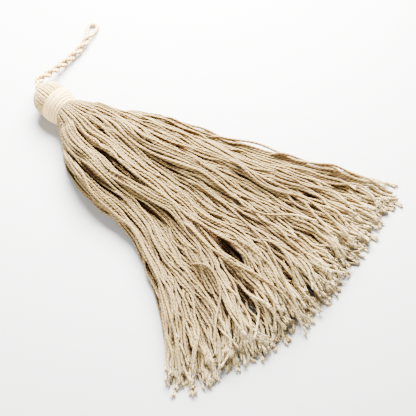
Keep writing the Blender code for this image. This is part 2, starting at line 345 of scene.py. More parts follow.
def loop_line():
    """The doubled cord's own centreline: out to the eye, round it, and back to the crown."""
    route = [(NECK[0] + p.aside, NECK[1] + p.from_neck, p.height) for p in LOOP_ROUTE]
    middle = smooth_route(np.array(route), CORD_STEP)
    along = distance_along(middle)
    ahead = unit(np.gradient(middle, axis=0))
    sideways = unit(np.cross(ahead, UP))
    upward = np.cross(sideways, ahead)
    eye_start = along[-1] - EYE_LENGTH
    turn = 2 * np.pi * np.maximum(eye_start - along, 0) / LEG_PITCH
    opened = np.clip((along - eye_start) / EYE_LENGTH, 0, 1)
    offset = LEG_OFFSET + (EYE_RADIUS - LEG_OFFSET) * np.sin(np.pi / 2 * opened)
    aside = offset[:, None] * (np.cos(turn)[:, None] * sideways + np.sin(turn)[:, None] * upward)
    bend = np.pi * np.arange(1, EYE_STEPS)[:, None] / EYE_STEPS
    tip = middle[-1] + EYE_RADIUS * (np.cos(bend) * sideways[-1] + np.sin(bend) * ahead[-1])
    return resample(np.vstack([middle + aside, tip, (middle - aside)[::-1]]), CORD_STEP)


# The cord's own colour, the painted shade of its ply grooves, and the colour of its husk specks and painted
# shade.
loop_cord_cotton = cotton_material(
    "loop cord cotton", (0.60, 0.43, 0.16), (0.24, 0.13, 0.035), (0.50, 0.31, 0.13), 2.0, 0.5, 0.5
)
cord_line = loop_line()
cord_count = len(cord_line)
cord_wander = np.random.default_rng(3).normal(0, 1, cord_count)
cord_wander = np.convolve(cord_wander, np.ones(9) / 9, "same")
cord = Yarn(
    line=cord_line,
    radius=CORD_RADIUS * (1 + 0.06 * cord_wander),
    turns=distance_along(cord_line) / CORD_PLY_PITCH,
    out=np.tile(UP, (cord_count, 1)),
    plies=2,
    groove=0.2,
    sides=12,
    shade=np.tile((0.6, 0.0, 0.0), (cord_count, 1)),
)
hanging_loop = join_yarns("hanging_loop_cord", [cord], loop_cord_cotton)
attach(hanging_loop, "root")
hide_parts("hanging_loop")

# Head. The yarns of the bundle are folded over the loop at the crown and laid side by side down to the
# neck, so the ball is ribbed. It is soft and flattens a little where it rests.
HEAD_YARNS = 36
HEAD_YARN_RADIUS = 0.64 * MM
HEAD_STEP = 0.45 * MM
HEAD_MIDDLE = 8.2 * MM
HEAD_LENGTH = 6.5 * MM
HEAD_RADIUS = 5.85 * MM
HeadPoint = namedtuple("HeadPoint", "reach radius thickness")
HEAD_LINE = tuple(
    HeadPoint(
        HEAD_MIDDLE + HEAD_LENGTH * math.cos(math.radians(turn)),
        HEAD_RADIUS * math.sin(math.radians(turn)),
        thickness,
    )
    for turn, thickness in ((6, 0.6), (18, 0.65), (34, 0.8), (52, 0.95), (72, 1.0), (92, 1.0), (112, 0.98))
) + (HeadPoint(3.6 * MM, 4.6 * MM, 0.9),)
CORE_INSET = 0.35 * MM
CORE_STEPS = 48
# The filler bodies under the head's ribs and under the winding are darkened by painted shade, as shade falls
# between the yarns over them.
CORE_SHADE = (0.5, 0.8, 0.0, 1.0)
CORE_REST = 0.3 * MM
HEAD_REST = 1.06
HEAD_PLY_PITCH = 4.68 * MM

chance = np.random.default_rng(21)


def axis_point(reach):
    """The middle of the head and neck: the neck sinks a little below the middle of the head."""
    height = np.interp(reach, (0.0, 8 * MM, 16 * MM), (5.75 * MM, 6.45 * MM, 6.5 * MM))
    aside = np.full(np.shape(reach), NECK[0])
    return np.stack([aside, NECK[1] + np.asarray(reach), height], axis=-1)


def head_yarn(index):
    """One ribbed yarn from the crown to under the winding."""
    table = np.array(HEAD_LINE)
    line = smooth_route(np.column_stack([table[:, 0], table[:, 1], table[:, 2] * MM]), HEAD_STEP)
    reach, radius, thickness = line[:, 0], line[:, 1], line[:, 2] / MM
    lean = math.radians(chance.normal(0, 1.3))
    around = np.full(len(line), 2 * np.pi * index / HEAD_YARNS + lean)
    spread = np.stack([np.cos(around), np.zeros(len(around)), np.sin(around)], axis=1)
    points = axis_point(reach) + radius[:, None] * spread
    size = HEAD_YARN_RADIUS * thickness * (1 + 0.05 * chance.normal())
    points[:, 2] = np.maximum(points[:, 2], HEAD_REST * size)
    slope = np.gradient(radius) / np.maximum(np.abs(np.gradient(reach)), 1e-9)
    out = unit(spread + np.array((0.0, 1.0, 0.0)) * np.clip(slope, -3, 3)[:, None])
    shade = np.tile((0.62 + 0.2 * chance.random(), 0.0, 0.0), (len(points), 1))
    turns = distance_along(points) / HEAD_PLY_PITCH + chance.random()
    return Yarn(points, size, turns, out, 2, 0.05, 8, shade)


def turned_core(name, profile, material):
    """A closed turned body about the tassel's axis, flattened where it would pass below the surface and
    darkened by painted shade.
    """
    body = bmesh.new()
    line = [body.verts.new((radius, reach, 0)) for reach, radius in profile]
    edges = [body.edges.new(pair) for pair in zip(line, line[1:])]
    bmesh.ops.spin(
        body,
        geom=line + edges,
        cent=(0, 0, 0),
        axis=(0, 1, 0),
        angle=2 * math.pi,
        steps=CORE_STEPS,
        use_merge=True,
    )
    bmesh.ops.remove_doubles(body, verts=body.verts, dist=0.01 * MM)
    bmesh.ops.recalc_face_normals(body, faces=body.faces)
    for vertex in body.verts:
        vertex.co = Vector(axis_point(vertex.co.y)) + Vector((vertex.co.x, 0, vertex.co.z))
        vertex.co.z = max(vertex.co.z, CORE_REST)
    mesh = bpy.data.meshes.new(name)
    body.to_mesh(mesh)
    body.free()
    mesh.shade_smooth()
    layer = mesh.uv_layers.new(name="yarn")
    layer.uv.foreach_set("vector", np.zeros(2 * len(mesh.loops), np.float32))
    tint = mesh.attributes.new("shade", "FLOAT_COLOR", "POINT")
    tint.data.foreach_set("color", np.tile(CORE_SHADE, len(mesh.vertices)).astype(np.float32))
    mesh.materials.append(material)
    piece = bpy.data.objects.new(name, mesh)
    bpy.context.scene.collection.objects.link(piece)
    return piece


# The head's own colour, the painted shade of its ply grooves, and the colour of its husk specks and painted
# shade.
head_cotton = cotton_material(
    "head yarn cotton", (0.31, 0.216, 0.083), (0.25, 0.168, 0.060), (0.56, 0.41, 0.27), 2.0, 0.3, 0.35
)
head_ribs = join_yarns("head_yarns", [head_yarn(i) for i in range(HEAD_YARNS)], head_cotton)
core_profile = [(HEAD_LINE[0].reach - CORE_INSET, 0.0)]
core_profile += [(p.reach - CORE_INSET, max(p.radius - CORE_INSET, 0.2 * MM)) for p in HEAD_LINE]
core_profile += [(0.0, 3.6 * MM), (-2.0 * MM, 3.4 * MM), (-3.0 * MM, 0.0)]
head_core = turned_core("head_core", core_profile, head_cotton)
for piece in (head_ribs, head_core):
    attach(piece, "root")
    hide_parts("tassel_yarns")

# Neck winding. Fine cotton thread is wound tightly over the yarns below the ball, turn beside turn,
# tapering towards the skirt, with its last turns laid a little unevenly over the first.
THREAD_RADIUS = 0.29 * MM
THREAD_PITCH = 0.46 * MM
WRAP_START = 6.3 * MM
WRAP_END = 0.2 * MM
WRAP_SHOULDER = 6.25 * MM
WRAP_WAIST = 5.0 * MM
TURN_STEPS = 72
THREAD_REST = 1.07
THREAD_PLY_PITCH = 2.2 * MM

chance = np.random.default_rng(5)


def wrap_radius(reach):
    share = np.clip((reach - WRAP_END) / (WRAP_START - WRAP_END), 0, 1)
    return WRAP_WAIST + (WRAP_SHOULDER - WRAP_WAIST) * np.sin(np.pi / 2 * share) ** 0.9


def wound_thread(start, end, pitch, lift, wobble):
    """A thread wound round the neck from one reach to another."""
    turns = abs(end - start) / pitch
    count = int(turns * TURN_STEPS)
    share = np.linspace(0, 1, count)
    around = 2 * np.pi * turns * share + chance.random() * 6
    reach = start + (end - start) * share
    drift = np.convolve(chance.normal(0, 1, count + 40), np.ones(41) / 41, "valid")[:count]
    reach = reach + wobble * drift * 5
    radius = wrap_radius(reach) + lift
    spread = np.stack([np.cos(around), np.zeros(count), np.sin(around)], axis=1)
    points = axis_point(reach) + radius[:, None] * spread
    points[:, 2] = np.maximum(points[:, 2], THREAD_REST * THREAD_RADIUS)
    shade = np.tile((0.62 + 0.2 * chance.random(), 0.0, 0.0), (count, 1))
    size = np.full(count, THREAD_RADIUS)
    return Yarn(points, size, distance_along(points) / THREAD_PLY_PITCH, spread, 2, 0.06, 6, shade)


# The thread's own colour, the painted shade of its ply grooves, and the colour of its painted shade.
thread_cotton = cotton_material(
    "neck thread cotton", (0.60, 0.43, 0.20), (0.54, 0.385, 0.175), (0.95, 0.88, 0.76), 2.0, 0.0, 0.25
)
windings = [
    wound_thread(WRAP_START, WRAP_END, THREAD_PITCH, 0.0, 0.05 * MM),
    wound_thread(4.9 * MM, 1.0 * MM, 1.1 * MM, 0.16 * MM, 0.2 * MM),
]
neck_winding = join_yarns("neck_winding", windings, thread_cotton)
wrap_reaches = np.linspace(WRAP_START, WRAP_END, 9)
band_profile = [(WRAP_START + 0.2 * MM, 4.5 * MM)]
band_profile += [(reach, wrap_radius(reach) - 0.5 * THREAD_RADIUS) for reach in wrap_reaches]
band_profile += [(WRAP_END - 0.1 * MM, 3.6 * MM)]
neck_band = turned_core("neck_winding_under_layer", band_profile + band_profile[:1], thread_cotton)
for piece in (neck_winding, neck_band):
    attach(piece, "root")
    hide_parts("neck_wrap")

# Skirt. Two-ply cotton yarns run out from under the winding, flare at once and lie over each other as a
# low heap, in locks with dark partings. Each yarn is laid in turn on those already down, rolling into the
# nearest hollow, and their ends are cut off square and fray.
Section = namedtuple("Section", "reach left right height")
SECTIONS = (
    Section(4.75 * MM, -86.0, 86.0, 12.4 * MM),
    Section(7.0 * MM, -71.0, 76.0, 13.0 * MM),
    Section(10.0 * MM, -58.0, 64.0, 13.2 * MM),
    Section(15.0 * MM, -51.0, 53.0, 12.8 * MM),
    Section(20.0 * MM, -45.5, 47.0, 11.8 * MM),
    Section(28.0 * MM, -38.0, 42.0, 9.0 * MM),
    Section(36.0 * MM, -32.0, 38.5, 6.0 * MM),
    Section(47.0 * MM, -25.0, 35.7, 2.0 * MM),
    Section(58.0 * MM, -21.8, 33.0, 0.0 * MM),
    Section(84.0 * MM, -23.3, 29.6, 0.0 * MM),
    Section(104.0 * MM, -25.6, 28.7, 0.0 * MM),
    Section(126.0 * MM, -28.6, 29.0, 0.0 * MM),
)
TipReach = namedtuple("TipReach", "across reach")
TIP_REACHES = (
    TipReach(-1.0, 121.0 * MM),
    TipReach(-0.5, 120.5 * MM),
    TipReach(0.0, 118.5 * MM),
    TipReach(0.5, 116.5 * MM),
    TipReach(0.8, 118.5 * MM),
    TipReach(1.0, 120.5 * MM),
)
Parting = namedtuple("Parting", "start end across width")
PARTINGS = (
    Parting(22 * MM, 58 * MM, 0.0, 1.2 * MM),
    Parting(14 * MM, 38 * MM, 0.46, 0.7 * MM),
    Parting(30 * MM, 54 * MM, -0.44, 0.8 * MM),
    Parting(44 * MM, 92 * MM, 0.34, 1.5 * MM),
    Parting(58 * MM, 104 * MM, -0.30, 1.6 * MM),
    Parting(66 * MM, 100 * MM, 0.66, 1.3 * MM),
    Parting(74 * MM, 112 * MM, 0.05, 1.3 * MM),
)
Stray = namedtuple("Stray", "reach across")
STRAYS = (
    (
        Stray(48 * MM, 0.92), Stray(56 * MM, 0.96), Stray(62 * MM, 1.02), Stray(67 * MM, 1.06),
        Stray(72 * MM, 1.04), Stray(77 * MM, 0.98), Stray(84 * MM, 0.95), Stray(116 * MM, 0.96),
    ),
    (
        Stray(70 * MM, 0.93), Stray(79 * MM, 0.97), Stray(86 * MM, 1.01), Stray(94 * MM, 1.06),
        Stray(102 * MM, 1.06), Stray(110 * MM, 1.05), Stray(119 * MM, 1.02),
    ),
    (
        Stray(24 * MM, -0.90), Stray(33 * MM, -0.98), Stray(40 * MM, -1.06), Stray(46 * MM, -1.04),
        Stray(54 * MM, -0.98), Stray(66 * MM, -0.95), Stray(119 * MM, -0.93),
    ),
    (
        Stray(62 * MM, -0.45), Stray(80 * MM, -0.40), Stray(100 * MM, -0.24), Stray(112 * MM, -0.16),
        Stray(123 * MM, -0.17),
    ),
    (
        Stray(50 * MM, 0.02), Stray(70 * MM, 0.10), Stray(90 * MM, 0.02), Stray(108 * MM, -0.12),
        Stray(119 * MM, -0.15),
    ),
    (
        Stray(58 * MM, 0.60), Stray(76 * MM, 0.50), Stray(94 * MM, 0.58), Stray(112 * MM, 0.46),
        Stray(116 * MM, 0.44),
    ),
    (
        Stray(66 * MM, 0.30), Stray(76 * MM, 0.18), Stray(84 * MM, 0.22), Stray(92 * MM, 0.38),
        Stray(100 * MM, 0.42),
    ),
    (
        Stray(78 * MM, -0.62), Stray(88 * MM, -0.50), Stray(97 * MM, -0.52), Stray(106 * MM, -0.66),
        Stray(113 * MM, -0.70),
    ),
    (
        Stray(86 * MM, -0.02), Stray(96 * MM, 0.06), Stray(104 * MM, 0.02), Stray(110 * MM, -0.06),
        Stray(121 * MM, -0.02),
    ),
)
NECK_EXIT_RADIUS = 4.5 * MM
BULGE_RADIUS = 5.7 * MM
NECK_STAGGER = 1.0 * MM
YARN_RADIUS = 0.41 * MM
YARN_STEP = 0.8 * MM
PLY_PITCH = 2.9 * MM
Layer = namedtuple("Layer", "yarns locks pull depth")
FLOOR_LAYER = Layer(72, 20, 0.3, 0.0)
INNER_LAYERS = (
    Layer(82, 16, 0.40, 0.0),
    Layer(76, 13, 0.50, 0.0),
    Layer(70, 11, 0.55, 0.0),
)
SHELL_LAYERS = (
    Layer(42, 10, 0.50, 0.9 * MM),
    Layer(54, 9, 0.55, 0.0),
)
SHELL_START = 11 * MM
SHOULDER = (7.0 * MM, 9.0 * MM)
SHOULDER_END = 30 * MM
STACKED_FROM = 22 * MM
FLANK_FULLNESS = 0.62
CROWDED_TO = 50 * MM
LOFT = 0.24 * MM
SET_BACK = 6 * MM
DIVE = 1.8 * MM
DIVE_LENGTH = 9 * MM
CELL = 0.2 * MM
NODE_STEP = 0.75 * MM
ROLL_CHOICES = np.arange(-7, 8) * 0.13 * MM
ROLL_HOLD = 1.3 * MM
ROLL_STIFFNESS = 0.16 * MM
SAG = 30.0
STEEPEST = 0.5
ROPE_DRIFT = ((15 * MM, 2.3 * MM), (8 * MM, 0.8 * MM))
WAVES = ((15 * MM, 0.7 * MM), (8 * MM, 0.45 * MM), (4.2 * MM, 0.26 * MM), (2.4 * MM, 0.15 * MM))
CROSSING_SHARE = 0.11
CROSSING = 0.16
EDGE_BAND = 0.06
LOCKS_GROW = (8 * MM, 36 * MM)
PULL_WAVE = 12 * MM
PARTING_FADE = 3.5 * MM
CURL_LENGTH = (8 * MM, 24 * MM)
CURL = 1.4 * MM
STRONG_CURL = 4 * MM
STRONG_CURLS = 0.2
FLOOR_START = 18 * MM
INNER_START = (13 * MM, 34 * MM)
YARN_REST = 1.2

chance = np.random.default_rng(14)
section_reach = np.array([s.reach for s in SECTIONS])
fine_reach = np.arange(0, 140, 1.0) * MM


def smoothed(values, width):
    """A table's values made smooth along the reach."""
    kernel = np.hanning(width + 2)
    padded = np.pad(np.interp(fine_reach, section_reach, values), width, mode="reflect", reflect_type="odd")
    return np.convolve(padded, kernel / kernel.sum(), "same")[width:-width]


fan_left = smoothed([s.left for s in SECTIONS], 5)
fan_right = smoothed([s.right for s in SECTIONS], 5)
core_height = smoothed([s.height for s in SECTIONS], 7)


def fan_angle(across, reach):
    left = np.interp(reach, fine_reach, fan_left)
    right = np.interp(reach, fine_reach, fan_right)
    return np.radians(left + (across + 1) / 2 * (right - left))


def half_width(reach):
    left = np.interp(reach, fine_reach, fan_left)
    right = np.interp(reach, fine_reach, fan_right)
    return np.maximum(reach * np.radians(right - left) / 2, NECK_EXIT_RADIUS)


def rising(reach, start, end):
    """Goes smoothly from 0 at one reach to 1 at another."""
    share = np.clip((reach - start) / (end - start), 0, 1)
    return share * share * (3 - 2 * share)


class Locks:
    """The locks of one layer: where each lies across the fan, how tightly it gathers, and how it sways."""

    def __init__(self, layer):
        even = np.arange(layer.locks) + 0.5 + chance.uniform(-0.3, 0.3, layer.locks)
        self.centres = even / layer.locks * 2 - 1
        self.pulls = layer.pull * chance.uniform(0.6, 1.2, layer.locks)
        self.phases = chance.uniform(0, 2 * np.pi, (layer.locks, 3))

    def of(self, steady):
        return int(np.argmin(np.abs(self.centres - steady)))


def gathered(across, lock, locks, reach, parted):
    """Where a yarn lies across the fan once it has gathered with its lock and left the partings open."""
    centre, phases = locks.centres[lock], locks.phases[lock]
    grown = rising(reach, *LOCKS_GROW)
    drift = sum(size * np.sin(reach / wave + phase) for (wave, size), phase in zip(ROPE_DRIFT, phases))
    drift *= grown * (1 - 0.7 * centre**2)
    pull = locks.pulls[lock] * grown * (0.6 + 0.4 * np.sin(reach / PULL_WAVE + phases[2]))
    place = across + pull * (centre - across) + drift / half_width(reach)
    for parting in PARTINGS if parted else ():
        opening = np.sin(np.pi * np.clip((reach - parting.start) / (parting.end - parting.start), 0, 1)) ** 2
        near = np.exp(-np.abs(place - parting.across) * half_width(reach) / PARTING_FADE)
        aside = 0.6 * parting.width / half_width(reach)
        place = place + np.sign(centre - parting.across) * opening * near * aside
    return place


heap_low = np.array((-68.0, -78.0)) * MM
heap = np.zeros((int(136 * MM / CELL), int(152 * MM / CELL)))


def cap_of(radius):
    """The cells under a round yarn, and how far its underside rises from its lowest line at each."""
    reach = int(radius / CELL)
    i, j = np.meshgrid(np.arange(-reach, reach + 1), np.arange(-reach, reach + 1), indexing="ij")
    apart = np.hypot(i, j) * CELL
    inside = apart < radius
    return i[inside], j[inside], np.sqrt(radius**2 - apart[inside] ** 2)


YARN_CAP = cap_of(0.92 * YARN_RADIUS)


def cells_of(places):
    cells = np.rint((places[..., :2] - heap_low) / CELL).astype(int)
    return cells[..., 0], cells[..., 1]


def resting_height(places):
    """How high a yarn's centre lies if it rests on the heap at each place."""
    i, j = cells_of(places)
    return (heap[i[..., None] + YARN_CAP[0], j[..., None] + YARN_CAP[1]] + YARN_CAP[2]).max(axis=-1)


def rolled(places):
    """The nearby path that runs best along the hollows of the heap."""
    ahead = unit(np.gradient(places, axis=0))
    sideways = np.stack([-ahead[:, 1], ahead[:, 0]], axis=1)
    choices = places[:, None, :] + ROLL_CHOICES[None, :, None] * sideways[:, None, :]
    cost = resting_height(choices) + ROLL_CHOICES[None, :] ** 2 / (2 * ROLL_HOLD)
    step = (ROLL_CHOICES[:, None] - ROLL_CHOICES[None, :]) ** 2 / (2 * ROLL_STIFFNESS)
    total = cost[0] + np.abs(ROLL_CHOICES)
    chosen = []
    for here in cost[1:]:
        ways = total[None, :] + step
        chosen.append(ways.argmin(axis=1))
        total = here + ways.min(axis=1)
    pick = [int(total.argmin())]
    for back in reversed(chosen):
        pick.append(int(back[pick[-1]]))
    shift = ROLL_CHOICES[np.array(pick[::-1])]
    kernel = np.hanning(7)
    shift = np.convolve(np.pad(shift, 3, mode="edge"), kernel / kernel.sum(), "same")[3:-3]
    return places + shift[:, None] * sideways


def draped(base, along):
    """The height of a limp yarn laid over a line of supports: it spans small gaps and sags in wide ones."""
    base = base.copy()
    for i in range(1, len(base)):
        base[i] = max(base[i], base[i - 1] - STEEPEST * (along[i] - along[i - 1]))
    for i in range(len(base) - 2, -1, -1):
        base[i] = max(base[i], base[i + 1] - STEEPEST * (along[i + 1] - along[i]))
    bowed = base - 0.5 * SAG * along**2
    held = [0]
    for i in range(1, len(base)):
        while len(held) > 1:
            a, b = held[-2], held[-1]
            rise = (bowed[b] - bowed[a]) * (along[i] - along[a])
            if rise > (bowed[i] - bowed[a]) * (along[b] - along[a]):
                break
            held.pop()
        held.append(i)
    height = np.interp(along, along[held], bowed[held]) + 0.5 * SAG * along**2
    kernel = np.hanning(9)
    return np.convolve(np.pad(height, 4, mode="edge"), kernel / kernel.sum(), "same")[4:-4]


def on_fan(across, reach):
    angle = fan_angle(across, reach)
    return NECK[:2] + reach[:, None] * np.stack([np.sin(angle), -np.cos(angle)], axis=1)


def plan_path(across, lock, locks, reach, parted=True):
    """A yarn's path in plan: its own waves, a slow slide across its neighbours, and a curl at its end."""
    place = gathered(across, lock, locks, reach, parted)
    swing = np.zeros(len(reach))
    for wave, size in WAVES:
        swing += size * np.sin(reach / wave * chance.uniform(0.8, 1.25) + chance.uniform(0, 6.3))
    swing *= 0.35 * rising(reach, 12 * MM, 50 * MM) + 1.25 * rising(reach, 60 * MM, 108 * MM)
    curl_start = reach[-1] - chance.uniform(*CURL_LENGTH)
    curl_size = chance.normal(0, CURL) + (chance.random() < STRONG_CURLS) * chance.normal(0, STRONG_CURL)
    swing += curl_size * np.clip((reach - curl_start) / (reach[-1] - curl_start), 0, 1) ** 2
    place = place + swing / half_width(reach)
    slide = chance.normal(0, 0.015)
    if chance.random() < CROSSING_SHARE:
        slide += chance.uniform(-CROSSING, CROSSING)
    place = place + slide * rising(reach, 40 * MM, 115 * MM)
    beyond = np.maximum(np.abs(place) - 1 + EDGE_BAND, 0)
    within = np.minimum(np.abs(place), 1 - EDGE_BAND)
    place = np.sign(place) * (within + EDGE_BAND * np.tanh(beyond / EDGE_BAND))
    return on_fan(place, reach)


def laid_yarn(places, rolls, least=0.0):
    """Lays one yarn on the heap, at least at a given height, and returns its centreline."""
    if rolls:
        places = rolled(places)
    along = np.arange(len(places)) * NODE_STEP
    return np.column_stack([places, draped(np.maximum(resting_height(places), least), along)])


def pressed(line):
    """Adds a laid yarn to the heap, more loosely towards the cut ends, where the yarns curl."""
    fine = resample(line, 0.25 * MM)
    i, j = cells_of(fine)
    loft = LOFT * rising(np.hypot(fine[:, 0] - NECK[0], fine[:, 1] - NECK[1]), 70 * MM, 108 * MM)
    top = (fine[:, 2] + loft)[:, None] + YARN_CAP[2]
    np.maximum.at(heap, (i[:, None] + YARN_CAP[0], j[:, None] + YARN_CAP[1]), top)


def dived(line):
    """The same yarn with its start sunk among those below it, where it comes up between them."""
    along = distance_along(line)
    sunk = DIVE * (1 - rising(along, 0.0, DIVE_LENGTH))
    return np.column_stack([line[:, :2], np.maximum(line[:, 2] - sunk, YARN_RADIUS)])


def tip_reach(across, height):
    """Where a yarn is cut: the higher in the heap it lies, the sooner it ends."""
    tips = [t.reach for t in TIP_REACHES]
    reach = np.interp(across, [t.across for t in TIP_REACHES], tips)
    reach += np.clip(chance.normal(0, 1.6 * MM), -3 * MM, 2.6 * MM)
    if chance.random() < 0.08:
        reach -= chance.uniform(3 * MM, 11 * MM)
    return reach - SET_BACK * height


def spread_across(count, power):
    """Places across the fan, evenly random; with a power under 1 they thin out towards the edges."""
    even = (np.arange(count) + chance.uniform(0.1, 0.9, count)) / count * 2 - 1
    return np.sign(even) * (1 - (1 - np.abs(even)) ** power)


def out_of_neck(turn, depth, hidden, line):
    """A shell yarn's whole line: out from under the winding, over the heap's shoulder, then as laid."""
    around = np.array((math.cos(turn), 0.0, math.sin(turn)))
    points = [
        axis_point(1.8 * MM) + 3.9 * MM * around,
        axis_point(0.1 * MM) + (NECK_EXIT_RADIUS - 0.6 * depth - 0.7 * hidden) * around,
        axis_point(-0.9 * MM) + (BULGE_RADIUS - 0.8 * depth - hidden) * around,
    ]
    for reach in SHOULDER:
        angle = fan_angle(0.97 * math.cos(turn), reach)
        settled = (reach - SHOULDER[0]) / (SHELL_START - SHOULDER[0])
        height = np.interp(reach, fine_reach, core_height) - YARN_RADIUS - 0.9 * depth
        height -= 0.7 * hidden * (1 - settled)
        ringed = points[2][2] + 1.0 * MM * math.sin(turn)
        flat = height * max(math.sin(turn), 0.0) ** FLANK_FULLNESS
        rise = max(ringed + (0.35 + 0.65 * settled) * (flat - ringed), YARN_RADIUS)
        points.append((NECK[0] + reach * math.sin(angle), NECK[1] - reach * math.cos(angle), rise))
    return smooth_route(np.vstack([points, line[::5], line[-1:]]), YARN_STEP)


floor_lines = []
floor_locks = Locks(FLOOR_LAYER)
for across in spread_across(FLOOR_LAYER.yarns, 1.0):
    reach = np.arange(FLOOR_START, tip_reach(across, 0.0), NODE_STEP)
    path = plan_path(0.97 * across, floor_locks.of(across), floor_locks, reach, parted=False)
    line = laid_yarn(path, False)
    pressed(line[reach > CROWDED_TO])
    floor_lines.append(line)
for line in floor_lines:
    pressed(line)

grid_i, grid_j = np.meshgrid(*(np.arange(n) for n in heap.shape), indexing="ij")
grid_x = heap_low[0] + grid_i * CELL - NECK[0]
grid_y = NECK[1] - heap_low[1] - grid_j * CELL
grid_reach = np.hypot(grid_x, grid_y)
grid_angle = np.degrees(np.arctan2(grid_x, grid_y))
grid_left = np.interp(grid_reach, fine_reach, fan_left)
grid_right = np.interp(grid_reach, fine_reach, fan_right)
grid_across = (grid_angle - grid_left) / (grid_right - grid_left) * 2 - 1
arch = np.clip(1 - (grid_across / 0.92) ** 2, 0, 1) ** (0.5 * FLANK_FULLNESS)
core_top = np.interp(grid_reach, fine_reach, core_height) * arch - 4 * YARN_RADIUS
core_top = np.where((grid_y > 0) & (arch > 0), core_top, 0)
heap = np.maximum(heap, core_top)


def rope_by_rope(steady, locks):
    """The order in which a layer's yarns are laid: one lock after another, each lock's yarns together."""
    order = chance.permutation(len(locks.centres))
    place = np.argsort(order)
    return np.argsort([place[locks.of(s)] + chance.uniform(0, 0.9) for s in steady])


inner_lines = []
for number, layer in enumerate(INNER_LAYERS):
    locks = Locks(layer)
    spread = spread_across(layer.yarns, 0.8)
    for across in spread[rope_by_rope(spread, locks)]:
        start = chance.uniform(*INNER_START) + 8 * MM * abs(across) ** 3
        height = (number + chance.random()) / (len(INNER_LAYERS) + 1)
        reach = np.arange(start, tip_reach(across, height), NODE_STEP)
        line = laid_yarn(plan_path(0.97 * across, locks.of(across), locks, reach), True)
        pressed(line)
        inner_lines.append(dived(line))

surface_lines = []
for layer in SHELL_LAYERS:
    locks = Locks(layer)
    turns = np.radians(np.linspace(-8, 188, layer.yarns) + chance.normal(0, 1.5, layer.yarns))
    steady = np.clip(1.08 * (1 - turns / (np.pi / 2)), -1, 1)
    for index in rope_by_rope(steady, locks):
        turn, settled = turns[index], steady[index]
        reach = np.arange(SHELL_START, tip_reach(settled, chance.uniform(0.6, 1.1)), NODE_STEP)
        spread = rising(reach, SHELL_START, SHELL_START + 40 * MM)
        across = 0.97 * (np.cos(turn) + (settled - np.cos(turn)) * spread)
        arched = np.interp(reach, fine_reach, core_height) - YARN_RADIUS - layer.depth
        arched += 0.35 * MM * np.sin(reach / (5 * MM) + chance.uniform(0, 6.3)) - chance.uniform(0, 0.5 * MM)
        arched *= max(math.sin(turn), 0.0) ** FLANK_FULLNESS
        least = arched * np.clip((SHOULDER_END - reach) / (SHOULDER_END - SHELL_START), 0, 1)
        line = laid_yarn(plan_path(across, locks.of(settled), locks, reach), True, least)
        pressed(line[reach > STACKED_FROM])
        hidden = index % 2 * NECK_STAGGER
        surface_lines.append((out_of_neck(turn, layer.depth, hidden, line), layer.depth, turn))

stray_lines = []
for stray in STRAYS:
    reach = np.arange(stray[0].reach, stray[-1].reach, NODE_STEP)
    across = np.interp(reach, [s.reach for s in stray], [s.across for s in stray])
    kernel = np.hanning(15)
    across = np.convolve(np.pad(across, 7, mode="edge"), kernel / kernel.sum(), "same")[7:-7]
    line = laid_yarn(on_fan(across, reach), False)
    pressed(line)
    stray_lines.append(dived(line))


def blurred(field, cells):
    """A grid's running mean over a square of cells, twice."""
    for axis in (0, 1, 0, 1):
        pad = [(cells, cells) if a == axis else (0, 0) for a in (0, 1)]
        total = np.cumsum(np.pad(field, pad, mode="edge"), axis)
        count = field.shape[axis]
        high = total.take(np.arange(2 * cells, 2 * cells + count), axis)
        low = total.take(np.arange(0, count), axis)
        field = (high - low) / (2 * cells)
    return field


# The heap's smoothed top and slope set which way the yarns on it face. Together with how closely the heap
# surrounds a place, they also set the painted shade of buried yarns.
settled_heap = blurred(heap, 8)
heap_slope = np.gradient(settled_heap, CELL)
enclosed = np.clip((blurred((heap > 0.3 * MM).astype(float), 24) - 0.58) / 0.4, 0, 1)
FRAY_LENGTH = 2.2 * MM
FRAY_SIZES = np.array((0.6, 0.66, 0.76, 0.94, 0.9))
HAIR_SIZES = np.array((0.13, 0.12, 0.06)) * MM
PALE_END = 14 * MM
# How far below the heap's top a yarn must lie to be fully darkened by painted shade.
FULL_SHADE_DEPTH = 2.0 * MM


def frayed_end(line, radius, turns, shade):
    """The two plies of a yarn's cut end, spread apart, and the loose fibres at their tips."""
    ahead = unit(line[-1] - line[-3])
    sideways = unit(np.cross(ahead, UP))
    upward = np.cross(sideways, ahead)
    phase = 2 * np.pi * turns[-1] + chance.uniform(-0.5, 0.5)
    strands = []
    for side in (1, -1):
        aside = side * (math.cos(phase) * sideways + math.sin(phase) * upward)
        along = np.linspace(0, FRAY_LENGTH * chance.uniform(0.85, 1.25), 5)
        spread = 0.2 * MM + chance.uniform(0.08, 0.34) * MM * (along / FRAY_LENGTH) ** 1.5
        droop = chance.uniform(-0.5, 0.1) * MM * (along / FRAY_LENGTH) ** 2
        points = line[-1] + along[:, None] * ahead + spread[:, None] * aside + droop[:, None] * UP
        size = radius * FRAY_SIZES
        points[:, 2] = np.maximum(points[:, 2], YARN_REST * size)
        tint = np.tile((*shade, 1.0), (5, 1))
        spin = turns[-1] + along / (2 * MM)
        strands.append(Yarn(points, size, spin, np.tile(UP, (5, 1)), 2, 0.12, 5, tint))
        for _ in range(3):
            way = unit(ahead + 0.5 * chance.normal(0, 1, 3))
            length = chance.uniform(0.3, 0.9) * MM
            root = points[-1] - 0.3 * MM * ahead + 0.15 * MM * chance.normal(0, 1, 3)
            hair = root + np.linspace(0, 0.3 * MM + length, 3)[:, None] * way
            hair[:, 2] = np.maximum(hair[:, 2], 0.1 * MM)
            tint = np.tile((*shade, 1.0), (3, 1))
            strands.append(Yarn(hair, HAIR_SIZES, np.zeros(3), np.tile(UP, (3, 1)), 2, 0.0, 3, tint))
    return strands


